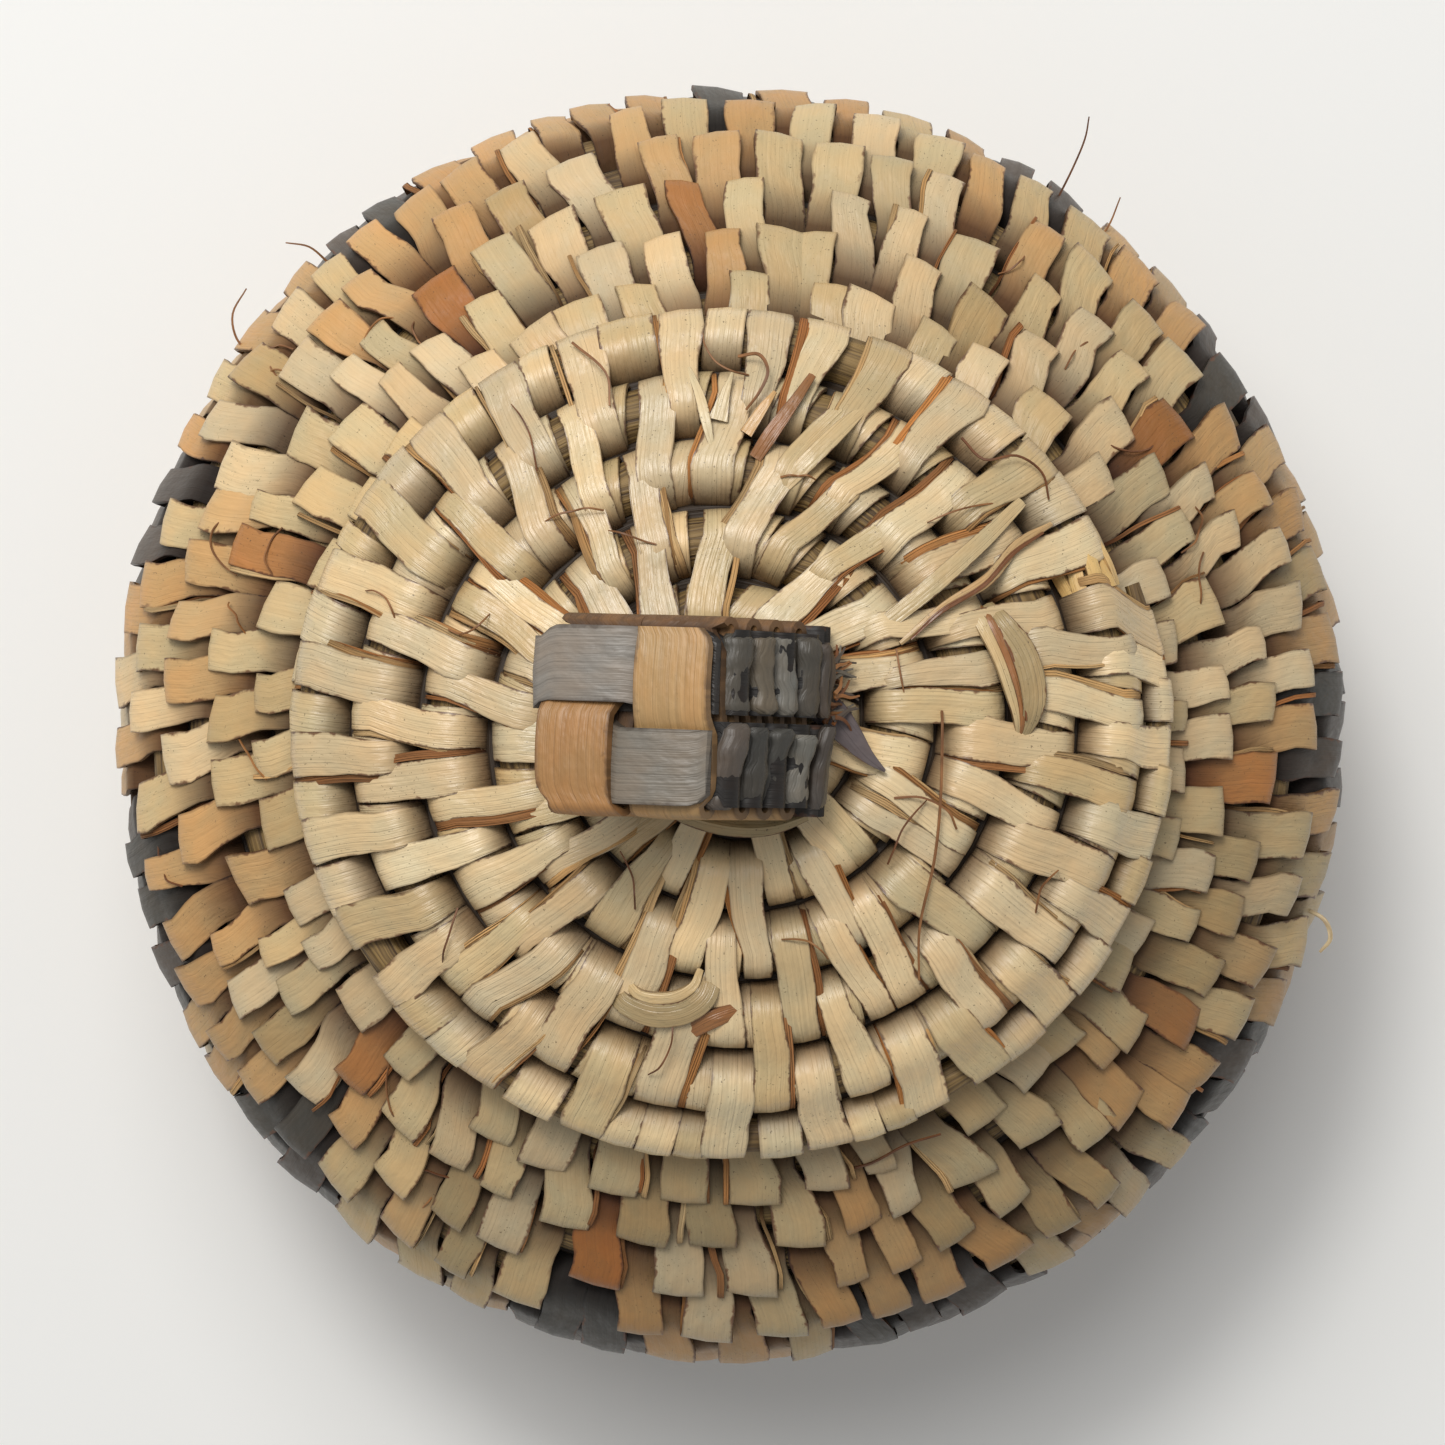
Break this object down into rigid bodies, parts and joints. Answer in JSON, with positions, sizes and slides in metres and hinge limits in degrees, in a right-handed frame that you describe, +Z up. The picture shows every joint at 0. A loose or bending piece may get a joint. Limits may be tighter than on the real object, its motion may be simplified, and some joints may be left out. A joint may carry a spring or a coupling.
{
  "type": "lidded palm fiber basket",
  "caption": "Round coiled palm fibre basket with a wide belly, a stitched star pattern and a domed lift-off lid with a square plaited knob.",
  "frame": {"origin": "middle of the foot, on the surface that the basket stands on", "axes": "+Z up through the lid and the middle of the base; the knob leans towards -X, as the picture shows it when seen from above with +Y up the image"},
  "size_m": [0.1377, 0.1425, 0.1148],
  "materials": {
    "fibre_bundle": "matte",
    "pale_palm": "satin",
    "tan_palm": "satin",
    "dark_palm": "satin",
    "russet_palm": "satin",
    "grey_palm": "satin"
  },
  "bodies": {
    "basket": {"base_coil": "fibre_bundle", "lower_wall_coil": "fibre_bundle", "belly_coil": "fibre_bundle", "shoulder_coil": "fibre_bundle", "rim_coil": "fibre_bundle", "base_centre_knot": "pale_palm", "base_stitches": "pale_palm", "lower_wall_stitches": "pale_palm", "pattern_tan_stitches": "tan_palm", "belly_dark_stitches": "dark_palm", "shoulder_straw_stitches": "pale_palm", "shoulder_russet_stitches": "russet_palm", "rim_stitches": "pale_palm", "rim_wraps": "pale_palm"},
    "lid": {"lid_coil": "fibre_bundle", "lid_edge_coil": "fibre_bundle", "lid_inner_stitches": "pale_palm", "lid_edge_stitches": "pale_palm", "lid_edge_wraps": "pale_palm", "lid_flange_coil": "fibre_bundle", "lid_flange_stitches": "pale_palm", "lid_mending_strips": "pale_palm", "knob_foot_pleats": "dark_palm", "knob_grey_strip_back": "grey_palm", "knob_grey_strip_front": "grey_palm", "knob_tan_strip_left": "tan_palm", "knob_tan_strip_right": "tan_palm", "knob_stem": "pale_palm", "knob_tail_knot": "grey_palm"}
  },
  "joints": [
    {"name": "lid_lift", "type": "slide", "parent": "basket", "child": "lid", "axis": [0, 0, 1], "range_m": [0, 0.06]}
  ]
}
